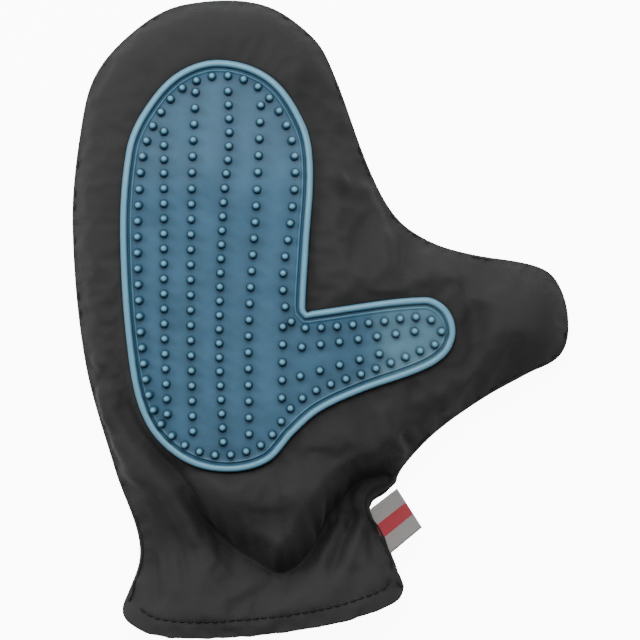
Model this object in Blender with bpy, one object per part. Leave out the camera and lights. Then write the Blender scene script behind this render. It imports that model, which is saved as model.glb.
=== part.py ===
"""Grooming mitt for the right hand: a sewn fabric mitten with a moulded rubber nub pad on its palm.

The mitt lies on its back, palm up. +X points to the thumb, +Y to the fingertips and +Z out of the
palm. The origin is on the resting plane, under the middle of the palm. All lengths are millimetres
until a vertex, a curve point or a joint is made, where MM turns them into metres.

The mitt bends with the hand in it: across the fingers and across the thumb. Each sheet that crosses
a bend is divided there, so that the parts on either side can turn about the bend's axis.
"""

import math

import bmesh
import bpy
import numpy as np
from mathutils import Matrix
from mathutils.geometry import delaunay_2d_cdt, interpolate_bezier

MM = 0.001

# Fabric shell
FABRIC = 1.6  # thickness of the foam-backed polyester
SEAM_Z = 11.0  # height of the closing seam above the resting plane
SEAM_ALLOWANCE = 4.5  # turned-in edge, measured from the seam
SEAM_STITCH_INSET = 3.3  # how far inside the seam its stitches run, on the turned-in edge
SEAM_STRETCHES = ("little_finger", "fingers", "web", "thumb", "heel")
GAP = 0.3  # free space between pieces that lie on each other
PALM_Z = 30.0  # top of the palm
THUMB_DROP = 5.5  # how much lower the thumb is than the palm
FINGERTIP_DROP = 5.0
WRIST_DROP = 5.0  # how far the elastic pulls the palm side in
CUFF_DROP = 7.0  # how much lower the cuff is than the palm
CUFF_LIFT = 2.5  # how far the back of the cuff clears the resting plane
PALM_SHOULDER = 34.0  # distance from the seam over which the palm side rounds off
BACK_SHOULDER = 16.0
HEM_WIDTH = 9.0  # turned-in edge of the cuff, twice the fabric thick
HEM_STITCH_INSET = 5.5
HEM_STITCH_PITCH = 6.4
HEM_STITCH_RISE = 0.25

# Mesh density of the fabric
EDGE_SPACING = 7.5  # between points along the seam, the hem and the lines that follow them
SHOULDER_LINES = (9.5, 16.5)  # distances inside the seam of the extra lines where the fabric rounds off
FIELD_SPACING = 13.0  # between points in the middle of a panel
FIELD_MARGIN = 22.0  # from the seam to the first of those

# Rubber pad
PAD_FLOOR = 1.3
RIM_WIDTH = 2.3
RIM_HEIGHT = 2.3
NUB_RADIUS = 1.6
NUB_TIP_RADIUS = 0.95
NUB_HEIGHT = 3.3
NUB_SIDES = 4

# Wrist elastic, label and threads
ELASTIC_WIDTH = 6.0
ELASTIC_THICKNESS = 1.0
THREAD_RADIUS = 0.25
LABEL_LAYER = 0.35
LABEL_GAP = 0.3

# The closing seam, from the cuff's little-finger corner round the fingertips to its thumb corner
LITTLE_FINGER_SIDE = [(-42.6, -97), (-35.8, -75.5), (-45.3, -45.3), (-56.6, -4.5), (-61.4, 47), (-58.5, 81.5)]
FINGERTIPS = [(-52.5, 104.2), (-35.8, 122.3), (-18.9, 130.5), (10, 130.5), (29.8, 117.7)]
INDEX_SIDE = [(37.4, 104.2), (50.9, 67.9), (61.1, 49.8), (74, 40.8)]
THUMB_TOP = [(89.1, 36.2), (112.5, 32.1), (120.4, 27.2), (125.3, 14), (121.9, 0)]
THUMB_BOTTOM = [(110.2, -9.1), (94, -18.1), (75.1, -31.7), (62.6, -45.3)]
HEEL = [(58.5, -52.5), (50.5, -58.5)]
CUFF_THUMB_SIDE = [(55.5, -67), (59.2, -77), (63.8, -88.7)]
# The free edge of the cuff, from its thumb corner back to the start of the seam
HEM = [(63.8, -88.7), (60.4, -94.5), (34.9, -103), (-2.3, -107.6), (-29.4, -106.8), (-41.1, -100.8)]
HEM += LITTLE_FINGER_SIDE[:1]

# Outline of the rubber pad, clockwise from the notch between fingers and thumb
PAD_LOBE = [(27.3, 14.2), (28.6, 14.7), (71.1, 19.9), (79.3, 16.3), (83, 7.9), (80.4, -0.8), (71.7, -7.2)]
PAD_HEEL = [(47.9, -15.8), (32.1, -23.2), (22.7, -31.3), (12.3, -42.3), (-3.8, -45.8), (-20, -41.1)]
PAD_OUTER_SIDE = [(-32.7, -28.4), (-39.1, -7.6), (-42.9, 41.2), (-40.6, 75), (-34.5, 89.7), (-21.9, 103.9)]
PAD_FINGER_SIDE = [(-5.7, 109), (13.5, 102.8), (26.1, 85.7), (29.5, 69), (27.9, 38.1), (26.7, 16)]

# The ring of nubs that follows the pad's outline, clockwise from the same notch
NUB_RING_LOBE = [(19.8, 13.2), (23.6, 9), (30.2, 8.3), (54.7, 10.7), (70.8, 12.3), (76.9, 8.5), (76.9, 3.8)]
NUB_RING_HEEL = [(72.2, 0.9), (50, -8), (32.5, -14.2), (22, -20.8), (11.8, -34.2), (0.2, -38.9)]
NUB_RING_OUTER_SIDE = [(-11.5, -38.5), (-22.4, -32.8), (-29.7, -23.1), (-33.7, -5), (-35.8, 24.5)]
NUB_RING_FINGERTIPS = [(-35.8, 54.7), (-33, 77.5), (-24.1, 93.9), (-14.6, 100.9), (-2.1, 102.8), (10.1, 97.6)]
NUB_RING_FINGER_SIDE = [(19.8, 83), (22.7, 68), (20.9, 47.2), (18.2, 27)]
NUB_RING_PITCH = 5.95

# Rows of nubs inside the ring: the pitch, then the row's line from its first nub to its last
NUB_COLUMNS = [
    (5.6, [(-26.4, 81.9), (-26.3, 10), (-25, -23.9)]),
    (5.8, [(-14.6, 96.7), (-16, 61.5), (-16.4, 10.9), (-15.6, -30.4)]),
    (5.3, [(-2.4, 97), (-2, 77.4), (-4.2, 53.8), (-5.7, 2.8), (-4.2, -34.4)]),
    (6.2, [(9.9, 91.7), (8.2, 55), (5.4, 10), (5.5, -31.4)]),
    (6.7, [(18.2, 8.8), (17.8, -17.9)]),
]
NUB_LOBE_ROWS = [
    (7.1, [(25.3, 1.2), (67.4, 7.1)]),
    (7.5, [(24.7, -9.7), (54.2, -1.4)]),
]

# Bends: a point of the axis, the direction away from the palm, the axis height and the widest angle
FINGER_BEND = {"at": (0, 63.4), "away": (0, 1), "z": 33.0, "angle": 45}
THUMB_BEND = {"at": (87, 9), "away": (1, 0), "z": 27.5, "angle": 45}
BENDS = {"fingers": FINGER_BEND, "thumb": THUMB_BEND}
BEND_GAP = 0.6
WRIST_LINE = ((-35.8, -75.5), (50.5, -58.5))

# Label: its sewn edge, then the folded edge away from the seam
LABEL_SEWN = ((53.3, -60.9), (60.8, -76.6))
LABEL_FOLD = ((60.8, -52.8), (71.3, -67.2))

FABRIC_COLOUR = (0.034, 0.034, 0.034)
RUBBER_COLOUR = (0.065, 0.165, 0.245)
ELASTIC_COLOUR = (0.02, 0.02, 0.02)
LABEL_COLOUR = (0.33, 0.31, 0.31)
THREAD_COLOUR = (0.012, 0.012, 0.012)


def material(name, colour, roughness):
    """A Principled BSDF of one colour."""
    made = bpy.data.materials.new(name)
    made.use_nodes = True
    shader = made.node_tree.nodes["Principled BSDF"]
    shader.inputs["Base Color"].default_value = (*colour, 1)
    shader.inputs["Roughness"].default_value = roughness
    shader.inputs["Metallic"].default_value = 0
    return made


# Paths in the plane of the mitt


def smooth_path(points, step, closed=False):
    """Points every step or so along a smooth curve through the given ones."""
    p = np.array(points, float)
    n = len(p)
    if closed:
        ahead, behind = np.roll(p, -1, 0), np.roll(p, 1, 0)
    else:
        ahead, behind = np.vstack([p[1:], p[-1:]]), np.vstack([p[:1], p[:-1]])
    tangent = ahead - behind
    tangent /= np.linalg.norm(tangent, axis=1)[:, None]
    fine = []
    for i in range(n if closed else n - 1):
        j = (i + 1) % n
        reach = np.linalg.norm(p[j] - p[i]) / 3
        knots = [(*q, 0) for q in (p[i], p[i] + tangent[i] * reach, p[j] - tangent[j] * reach, p[j])]
        fine += [tuple(q[:2]) for q in interpolate_bezier(*knots, 24)[:-1]]
    fine.append(tuple(p[0] if closed else p[-1]))
    return even(fine, step)[: -1 if closed else None]


def lengths(path):
    return np.concatenate([[0], np.cumsum(np.linalg.norm(np.diff(path, axis=0), axis=1))])


def even(path, step):
    """The same path with evenly spaced points, both ends kept."""
    path = np.array(path, float)
    along = lengths(path)
    stations = np.linspace(0, along[-1], max(2, round(along[-1] / step) + 1))
    return np.stack([np.interp(stations, along, path[:, k]) for k in range(2)], axis=1)


def distance_to(path, points):
    """Distance of each point from the nearest segment of the path."""
    a, b = path[:-1], path[1:]
    along = b - a
    offset = points[:, None] - a[None]
    share = np.clip((offset * along).sum(2) / (along**2).sum(1), 0, 1)
    return np.linalg.norm(offset - share[..., None] * along, axis=2).min(1)


def inside(outline, points):
    """Whether each point is inside the closed outline."""
    a, b = outline, np.roll(outline, -1, 0)
    x, y = points[:, None, 0], points[:, None, 1]
    spans = (a[:, 1] > y) != (b[:, 1] > y)
    rise = np.where(a[:, 1] == b[:, 1], 1, b[:, 1] - a[:, 1])
    crossing = a[:, 0] + (y - a[:, 1]) * (b[:, 0] - a[:, 0]) / rise
    return (spans & (x < crossing)).sum(1) % 2 == 1


def inset(path, amount, closed=False):
    """The path moved to its right by amount, without the loops that sharp corners would make."""
    ahead = np.roll(path, -1, 0) if closed else np.vstack([path[1:], path[-1:]])
    behind = np.roll(path, 1, 0) if closed else np.vstack([path[:1], path[:-1]])
    tangent = ahead - behind
    tangent /= np.linalg.norm(tangent, axis=1)[:, None]
    moved = path + amount * np.stack([tangent[:, 1], -tangent[:, 0]], axis=1)
    whole = np.vstack([path, path[:1]]) if closed else path
    return moved[distance_to(whole, moved) > amount - 0.05]


SEAM = smooth_path(
    LITTLE_FINGER_SIDE + FINGERTIPS + INDEX_SIDE + THUMB_TOP + THUMB_BOTTOM + HEEL + CUFF_THUMB_SIDE, 2
)
HEM_EDGE = smooth_path(HEM, 1)
WRIST_WAY = np.subtract(*WRIST_LINE[::-1]) / np.linalg.norm(np.subtract(*WRIST_LINE))
WRIST = {"at": WRIST_LINE[0], "away": (WRIST_WAY[1], -WRIST_WAY[0])}
PAD_OUTLINE = smooth_path(PAD_LOBE + PAD_HEEL + PAD_OUTER_SIDE + PAD_FINGER_SIDE, 1.5, closed=True)
NUB_RING = smooth_path(
    NUB_RING_LOBE + NUB_RING_HEEL + NUB_RING_OUTER_SIDE + NUB_RING_FINGERTIPS + NUB_RING_FINGER_SIDE,
    0.5,
    closed=True,
)
# The side seams run on past the open cuff, so that the cuff's cross-section stays the same up to its edge
SEAM_REACH = np.vstack([SEAM[:1] + (-12, -40), SEAM, SEAM[-1:] + (12, -40)])


# Surfaces: height above the resting plane at points of the plane


def ease(value, start, end):
    t = np.clip((value - start) / (end - start), 0, 1)
    return t * t * (3 - 2 * t)


def round_off(distance, reach):
    """A quarter ellipse: 0 at the seam, 1 from reach on."""
    t = np.clip(distance / reach, 0, 1)
    return np.sqrt(1 - (1 - t) ** 2)


def beyond(bend, points):
    """Signed distance past a bend's axis, away from the palm."""
    return (points - np.array(bend["at"])) @ np.array(bend["away"])


def palm_top(points):
    """Height of the palm side where it isn't rounding off to the seam."""
    thumb = THUMB_DROP * ease(points[:, 0], 35, 110)
    tips = FINGERTIP_DROP * ease(points[:, 1], 55, 120)
    past_wrist = beyond(WRIST, points)
    wrist = WRIST_DROP * np.exp(-((past_wrist / 14) ** 2)) + CUFF_DROP * ease(past_wrist, -22, 4)
    return PALM_Z - thumb - tips - wrist


def palm_outer(points):
    base = SEAM_Z + GAP / 2
    return base + (palm_top(points) - base) * round_off(distance_to(SEAM_REACH, points), PALM_SHOULDER)


def layers(points):
    """Fabric thickness: twice as much where the hem is turned in."""
    return FABRIC * (1 + ease(-distance_to(HEM_EDGE, points), -HEM_WIDTH - 1, -HEM_WIDTH + 1))


def palm_inner(points):
    base = SEAM_Z + GAP / 2 + FABRIC
    depth = distance_to(SEAM_REACH, points) - FABRIC
    return base + (palm_top(points) - layers(points) - base) * round_off(depth, PALM_SHOULDER - FABRIC)


def back_lift(points):
    return CUFF_LIFT * ease(beyond(WRIST, points), 0, 25)


def back_outer(points):
    fall = round_off(distance_to(SEAM_REACH, points), BACK_SHOULDER)
    return SEAM_Z - GAP / 2 - (SEAM_Z - GAP / 2 - back_lift(points)) * fall


def back_inner(points):
    base = SEAM_Z - GAP / 2 - FABRIC
    depth = distance_to(SEAM_REACH, points) - FABRIC
    return base - (base - layers(points) - back_lift(points)) * round_off(depth, BACK_SHOULDER - FABRIC)


def normals_of(surface, points):
    """Unit normals, with +Z, of a surface given by its height."""
    step = 0.5
    dx = (surface(points + (step, 0)) - surface(points - (step, 0))) / (2 * step)
    dy = (surface(points + (0, step)) - surface(points - (0, step))) / (2 * step)
    normal = np.stack([-dx, -dy, np.ones(len(points))], axis=1)
    return normal / np.linalg.norm(normal, axis=1)[:, None]


# Meshes


def grid_inside(outline, spacing, margin):
    """A staggered grid of points inside the outline, more than margin from it."""
    low, high = outline.min(0), outline.max(0)
    rows = np.arange(low[1], high[1], spacing * math.sqrt(3) / 2)
    shifts = [spacing / 2 * (i % 2) for i in range(len(rows))]
    points = np.array([(x + s, y) for y, s in zip(rows, shifts) for x in np.arange(low[0], high[0], spacing)])
    points = points[inside(outline, points)]
    return points[distance_to(np.vstack([outline, outline[:1]]), points) > margin]


def triangulate(outline, open_paths=(), loops=(), extra=()):
    """Triangles that fill the outline and keep the given paths, loops and extra points."""
    points = [tuple(p) for p in outline]
    edges = []
    for path in open_paths:
        first = len(points)
        points += [tuple(p) for p in path]
        edges += [(i, i + 1) for i in range(first, len(points) - 1)]
    for loop in loops:
        first, count = len(points), len(loop)
        points += [tuple(p) for p in loop]
        edges += [(first + i, first + (i + 1) % count) for i in range(count)]
    points += [tuple(p) for p in extra]
    found = delaunay_2d_cdt(points, edges, [list(range(len(outline)))], 1, 1e-4, False)
    flat = np.array([tuple(v) for v in found[0]])
    triangles = np.array([tuple(f) for f in found[2]])
    return flat, [tuple(t) for t in triangles[inside(outline, flat[triangles].mean(1))].tolist()]


class Sheets:
    """Builds one closed solid out of flat triangulations lifted to several heights."""

    def __init__(self):
        self.mesh = bmesh.new()
        self.made = {}

    def vertex(self, key, place):
        if key not in self.made:
            self.made[key] = self.mesh.verts.new([c * MM for c in place])
        return self.made[key]

    def face(self, vertices):
        ring = list(dict.fromkeys(vertices))
        if len(ring) > 2:
            self.mesh.faces.new(ring)

    def finish(self, name):
        bmesh.ops.recalc_face_normals(self.mesh, faces=self.mesh.faces)
        made = bpy.data.meshes.new(name)
        self.mesh.to_mesh(made)
        self.mesh.free()
        made.shade_smooth()
        made.set_sharp_from_angle(angle=math.radians(40))
        return made


def hem_with(distances, spacing):
    """The hem's edge, thinned to spacing, with a point at each of these distances from either side seam."""
    along = lengths(HEM_EDGE)
    depth = distance_to(SEAM_REACH, HEM_EDGE)
    middle = int(depth.argmax())
    stations = [0, along[-1]]
    for d in distances:
        stations.append(np.interp(d, depth[: middle + 1], along[: middle + 1]))
        stations.append(np.interp(d, depth[: middle - 1 : -1], along[: middle - 1 : -1]))
    reach = max(distances) + spacing / 2
    first, last = (np.interp(reach, depth[: middle + 1], along[: middle + 1]), along[-1] - reach)
    stations += list(np.linspace(first, last, round((last - first) / spacing) + 1))
    stations = sorted(set(stations))
    return np.stack([np.interp(stations, along, HEM_EDGE[:, k]) for k in range(2)], axis=1)


def panel_plan():
    """The flat pattern of both fabric panels: points, triangles, and each triangle's zone.

    Zone 0 is the fabric's own edge, zone 1 the seam allowance and zone 2 the rest.
    """
    ring_distances = (FABRIC, SEAM_ALLOWANCE)
    hem = hem_with(ring_distances, EDGE_SPACING)
    outline = np.vstack([even(SEAM, EDGE_SPACING), hem[1:-1]])
    hem_depth = distance_to(SEAM_REACH, hem)
    rings = []
    for d in ring_distances:
        ends = [hem[i] for i in np.argsort(np.abs(hem_depth - d))[:2]]
        ends.sort(key=lambda p: p[0])
        ring = inset(SEAM, d)
        ring = ring[inside(outline, ring) & (distance_to(HEM_EDGE, ring) > 1.5)]
        rings.append(np.vstack([ends[0], even(ring, EDGE_SPACING), ends[1]]))
    shoulders = [even(inset(SEAM, d), EDGE_SPACING) for d in SHOULDER_LINES]
    shoulders = [s[inside(outline, s) & (distance_to(HEM_EDGE, s) > EDGE_SPACING / 2)] for s in shoulders]
    turned = even(inset(HEM_EDGE, HEM_WIDTH), EDGE_SPACING)
    turned = turned[distance_to(SEAM_REACH, turned) > EDGE_SPACING]
    field = grid_inside(outline, FIELD_SPACING, FIELD_MARGIN)
    points, triangles = triangulate(outline, open_paths=rings, extra=np.vstack([*shoulders, turned, field]))
    centres = np.array([points[list(t)].mean(0) for t in triangles])
    zones = np.digitize(distance_to(SEAM_REACH, centres), ring_distances)
    return points, triangles, zones


def panel_mesh(name, plan, outer, inner, side):
    """One fabric panel: outer and inner faces, and the seam allowance turned in along the seam.

    side is 1 for the palm panel, above the seam, and -1 for the back panel, below it.
    """
    points, triangles, zones = plan
    seam_face = SEAM_Z + side * GAP / 2
    seam_root = seam_face + side * FABRIC
    on_seam = distance_to(SEAM, points) < 1e-3
    touching = [set(), set(), set()]
    owner = {}
    for t, zone in zip(triangles, zones):
        touching[zone] |= set(t)
        for a, b in zip(t, t[1:] + t[:1]):
            owner.setdefault(frozenset((a, b)), []).append(zone)
    at_root = touching[0] & (touching[1] | touching[2])
    heights = {
        "outer": np.where(on_seam, seam_face, outer(points)),
        "inner": inner(points),
        "far": np.full(len(points), seam_root),
        "face": np.full(len(points), seam_face),
    }
    sheets = Sheets()

    def at(sheet, i):
        if sheet == "face" and on_seam[i]:
            sheet = "outer"
        if sheet in ("inner", "far") and i in at_root:
            return sheets.vertex(("far", i), (*points[i], seam_root))
        return sheets.vertex((sheet, i), (*points[i], heights[sheet][i]))

    for t, zone in zip(triangles, zones):
        if all(on_seam[i] for i in t):
            continue
        shown = {0: ("outer", "face"), 1: ("outer", "inner", "far", "face"), 2: ("outer", "inner")}[int(zone)]
        for sheet in shown:
            sheets.face([at(sheet, i) for i in t])
    for edge, sides in owner.items():
        a, b = edge
        if sorted(sides) == [1, 2]:
            sheets.face([at("far", a), at("far", b), at("face", b), at("face", a)])
        if len(sides) > 1 or (on_seam[a] and on_seam[b]):
            continue
        if sides[0] == 0:
            middle_a = [at("far", a)] if a in at_root else []
            middle_b = [at("far", b)] if b in at_root else []
            sheets.face([at("outer", a), at("outer", b), *middle_b, at("face", b), at("face", a), *middle_a])
            continue
        sheets.face([at("outer", a), at("outer", b), at("inner", b), at("inner", a)])
        if sides[0] == 1:
            sheets.face([at("far", a), at("far", b), at("face", b), at("face", a)])
    return sheets.finish(name)


def distance_to_bends(points):
    return np.min([np.abs(beyond(bend, points)) for bend in BENDS.values()], axis=0)


def runs_by_bend(path):
    """The path cut where it crosses a bend, as a list of shorter paths."""
    fine = even(path, 0.25)
    body = sum((beyond(b, fine) > 0) * 2**i for i, b in enumerate(BENDS.values()))
    cuts = [0, *(np.flatnonzero(np.diff(body)) + 1), len(fine)]
    return [fine[a:b] for a, b in zip(cuts, cuts[1:]) if b - a > 2]


def spaced_nubs(path, pitch, closed=False):
    """Nub centres along a path: at both ends of an open one, and half a pitch clear of every bend."""
    found = []
    for run in runs_by_bend(path):
        from_end = not closed and np.allclose(run[0], path[0])
        to_end = not closed and np.allclose(run[-1], path[-1])
        along = lengths(run)
        count = round(along[-1] / pitch + (from_end + to_end) / 2)
        gap = along[-1] / (count - (from_end + to_end) / 2)
        stations = gap * (np.arange(count) + (0 if from_end else 0.5))
        found.append(np.stack([np.interp(stations, along, run[:, k]) for k in range(2)], axis=1))
    return np.vstack(found)


def nub_centres():
    """Every nub: the ring along the outline, then the rows inside it."""
    centres = [spaced_nubs(np.vstack([NUB_RING, NUB_RING[:1]]), NUB_RING_PITCH, closed=True)]
    centres += [spaced_nubs(smooth_path(line, 0.5), pitch) for pitch, line in NUB_COLUMNS + NUB_LOBE_ROWS]
    return np.vstack(centres)


def pad_mesh():
    """The rubber pad: a thin floor, a raised rim and the nubs, all in one moulding."""
    outline = PAD_OUTLINE[::3]
    closed = np.vstack([PAD_OUTLINE, PAD_OUTLINE[:1]])
    rim = inset(PAD_OUTLINE, RIM_WIDTH, closed=True)[::3]
    centres = nub_centres()
    angles = np.arange(NUB_SIDES) * 2 * math.pi / NUB_SIDES
    circle = np.stack([np.cos(angles), np.sin(angles)], axis=1)
    feet = [c + NUB_RADIUS * circle for c in centres]
    points, triangles = triangulate(outline, loops=[rim, *feet])
    under, under_triangles = triangulate(outline, extra=grid_inside(outline, 9, 4))
    base = palm_outer(points) + GAP
    sheets = Sheets()
    under_base = palm_outer(under) + GAP
    count = len(outline)

    def bottom(i):
        return sheets.vertex(("under", i), (*under[i], under_base[i]))

    def top(level, i):
        height = RIM_HEIGHT if level == "rim" else PAD_FLOOR
        return sheets.vertex((level, i), (*points[i], base[i] + height))

    for t in under_triangles:
        sheets.face([bottom(i) for i in t])
    for i in range(count):
        j = (i + 1) % count
        sheets.face([bottom(i), bottom(j), top("rim", j), top("rim", i)])
    middles = np.array([points[list(t)].mean(0) for t in triangles])
    on_rim = distance_to(closed, middles) < RIM_WIDTH
    from_nub = np.linalg.norm(middles[:, None] - centres[None], axis=2)
    nearest = from_nub.argmin(1)
    on_nub = from_nub.min(1) < NUB_RADIUS * math.cos(math.pi / NUB_SIDES)
    owner = {}
    for k, t in enumerate(triangles):
        part = "rim" if on_rim[k] else ("nub", int(nearest[k])) if on_nub[k] else "floor"
        if part in ("rim", "floor"):
            sheets.face([top(part, i) for i in t])
        for a, b in zip(t, t[1:] + t[:1]):
            owner.setdefault(frozenset((a, b)), []).append(part)
    lean = normals_of(palm_outer, centres)
    tips = np.column_stack([centres, palm_outer(centres) + GAP + PAD_FLOOR]) + NUB_HEIGHT * lean

    def tip(nub, i):
        outward = (points[i] - centres[nub]) * NUB_TIP_RADIUS / NUB_RADIUS
        place = tips[nub] + (*outward, -outward @ lean[nub][:2] / lean[nub][2])
        return sheets.vertex(("tip", i), place)

    caps = {}
    for edge, parts in owner.items():
        a, b = edge
        if "rim" in parts and "floor" in parts:
            sheets.face([top("rim", a), top("rim", b), top("floor", b), top("floor", a)])
        nubs = {p for p in parts if isinstance(p, tuple)}
        if nubs and "floor" in parts:
            nub = nubs.pop()[1]
            sheets.face([top("floor", a), top("floor", b), tip(nub, b), tip(nub, a)])
            caps.setdefault(nub, []).append((a, b))
    for nub, sides in caps.items():
        ends = {i for side in sides for i in side}
        turn = {i: math.atan2(*(points[i] - centres[nub])[::-1]) for i in ends}
        sheets.face([tip(nub, i) for i in sorted(ends, key=turn.get)])
    return sheets.finish("rubber_pad_mesh")


def swept(name, sections):
    """A solid through a row of closed sections with the same number of points, capped at both ends."""
    sheets = Sheets()
    rings = [[sheets.vertex((i, k), p) for k, p in enumerate(s)] for i, s in enumerate(sections)]
    for ring, following in zip(rings, rings[1:]):
        for k in range(len(ring)):
            j = (k + 1) % len(ring)
            sheets.face([ring[k], ring[j], following[j], following[k]])
    sheets.face(rings[0])
    sheets.face(rings[-1])
    return sheets.finish(name)


def wrist_stations(step):
    """Points across the wrist, clear of the seam allowances."""
    line = even(WRIST_LINE, step)
    return line[distance_to(SEAM_REACH, line) > SEAM_ALLOWANCE + 2.5]


def elastic_mesh(name, surface, side):
    """A flat tape against the inside of one panel. side is 1 under the palm and -1 over the back."""
    middle = wrist_stations(5)
    up = -np.array(WRIST["away"])
    sections = []
    for p in middle:
        across = np.array([p + k * ELASTIC_WIDTH / 2 * up for k in (-1, 0, 1)])
        near = surface(across) - side * GAP
        far = near - side * ELASTIC_THICKNESS
        lower_face = [(*q, z) for q, z in zip(across[::-1], far[::-1])]
        sections.append([(*q, z) for q, z in zip(across, near)] + lower_face)
    return swept(name, sections)


def label_mesh():
    """A woven tape folded in two, its open ends at the seam and its fold away from it."""
    turn = np.radians(np.linspace(90, -90, 7))
    half = LABEL_GAP / 2
    outer_radius = half + LABEL_LAYER
    sections = []
    for sewn, fold in zip(LABEL_SEWN, LABEL_FOLD):
        sewn, fold = np.array(sewn), np.array(fold)
        reach = np.linalg.norm(fold - sewn)
        way = (fold - sewn) / reach
        outer = [(0, outer_radius)]
        outer += [(reach + outer_radius * math.cos(a), outer_radius * math.sin(a)) for a in turn]
        outer += [(0, -outer_radius), (0, -half)]
        outer += [(reach + half * math.cos(a), half * math.sin(a)) for a in turn[::-1]]
        outer += [(0, half)]
        sections.append([(*(sewn + way * u), SEAM_Z + z) for u, z in outer])
    return swept("side_label_mesh", sections)


# Objects


def new_object(name, mesh, surface_material=None):
    """An object of a mesh, which other objects may share."""
    made = bpy.data.objects.new(name, mesh)
    bpy.context.scene.collection.objects.link(made)
    if surface_material and not mesh.materials:
        mesh.materials.append(surface_material)
    return made


def thread(name, places, surface_material):
    """A round thread along the given places."""
    curve = bpy.data.curves.new(name, "CURVE")
    curve.dimensions = "3D"
    curve.bevel_depth = THREAD_RADIUS * MM
    curve.bevel_resolution = 0
    curve.use_fill_caps = True
    spline = curve.splines.new("POLY")
    spline.points.add(len(places) - 1)
    for point, place in zip(spline.points, places):
        point.co = (*(c * MM for c in place), 1)
    curve.materials.append(surface_material)
    made = bpy.data.objects.new(name, curve)
    bpy.context.scene.collection.objects.link(made)
    return made


def hem_thread(name, surface, side, surface_material):
    """Topstitching: a thread that rises and dips once a stitch, on the outside of the hem."""
    path = inset(HEM_EDGE, HEM_STITCH_INSET)
    path = even(path[distance_to(SEAM_REACH, path) > SEAM_ALLOWANCE], HEM_STITCH_PITCH / 4)
    turns = lengths(path) / HEM_STITCH_PITCH * 2 * math.pi
    rise = GAP + THREAD_RADIUS + HEM_STITCH_RISE * (1 - np.cos(turns))
    facing = normals_of(surface, path) * side
    places = np.column_stack([path, surface(path)]) + facing * rise[:, None]
    return thread(name, places, surface_material)


def seam_threads(surface_material):
    """The closing seam's stitches on the palm panel's turned-in edge: one thread for each stretch of seam."""
    path = inset(SEAM, SEAM_STITCH_INSET)
    path = path[distance_to(HEM_EDGE, path) > HEM_WIDTH]
    height = SEAM_Z + GAP / 2 + FABRIC + GAP + THREAD_RADIUS
    made = {}
    for name, run in zip(SEAM_STRETCHES, runs_by_bend(path)):
        kept = even(run[distance_to_bends(run) > 1.5], 4)
        places = np.column_stack([kept, np.full(len(kept), height)])
        made[name] = thread("seam_thread_" + name, places, surface_material)
    return made


def elastic_thread(name, surface, side, surface_material):
    """The zigzag that holds the elastic, on the tape's inner face."""
    path = wrist_stations(2.5)[1:-1]
    swing = np.where(np.arange(len(path)) % 2, 1, -1) * ELASTIC_WIDTH / 3
    path = path - swing[:, None] * np.array(WRIST["away"])
    depth = 2 * GAP + ELASTIC_THICKNESS + THREAD_RADIUS
    places = np.column_stack([path, surface(path) - side * depth])
    return thread(name, places, surface_material)


def joint_at(name, place):
    """An empty on a joint's axis, to carry the pieces that turn about it."""
    made = bpy.data.objects.new(name + "_joint", None)
    made.location = [c * MM for c in place]
    bpy.context.scene.collection.objects.link(made)
    return made


def carry(joint, piece):
    """Parent a piece to its joint without moving it."""
    piece.parent = joint
    piece.matrix_parent_inverse = Matrix.Translation(-joint.location)


def keep_zone(name, bend, away):
    """A block that holds one side of a bend, sloped so that the two sides don't meet as they turn."""
    slope = math.tan(math.radians(bend["angle"] / 2))
    top, bottom, far = 50, -10, 200
    near = BEND_GAP / 2
    edge = [(near, bottom), (near, bend["z"]), (near + (top - bend["z"]) * slope, top)]
    profile = [*edge, (far, top), (far, bottom)]
    at, forward = np.array(bend["at"]), np.array(bend["away"]) * (1 if away else -1)
    along = np.array([-forward[1], forward[0]])
    sections = [[(*(at + forward * v + along * s), z) for v, z in profile] for s in (-far, far)]
    block = new_object(name, swept(name, sections))
    block.hide_render = True
    block.display_type = "WIRE"
    return block


def keep_inside(piece, zones):
    """Cut away what lies outside any of the zones."""
    for zone in zones:
        cut = piece.modifiers.new(zone.name, "BOOLEAN")
        cut.operation = "INTERSECT"
        cut.solver = "EXACT"
        cut.object = zone


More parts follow.
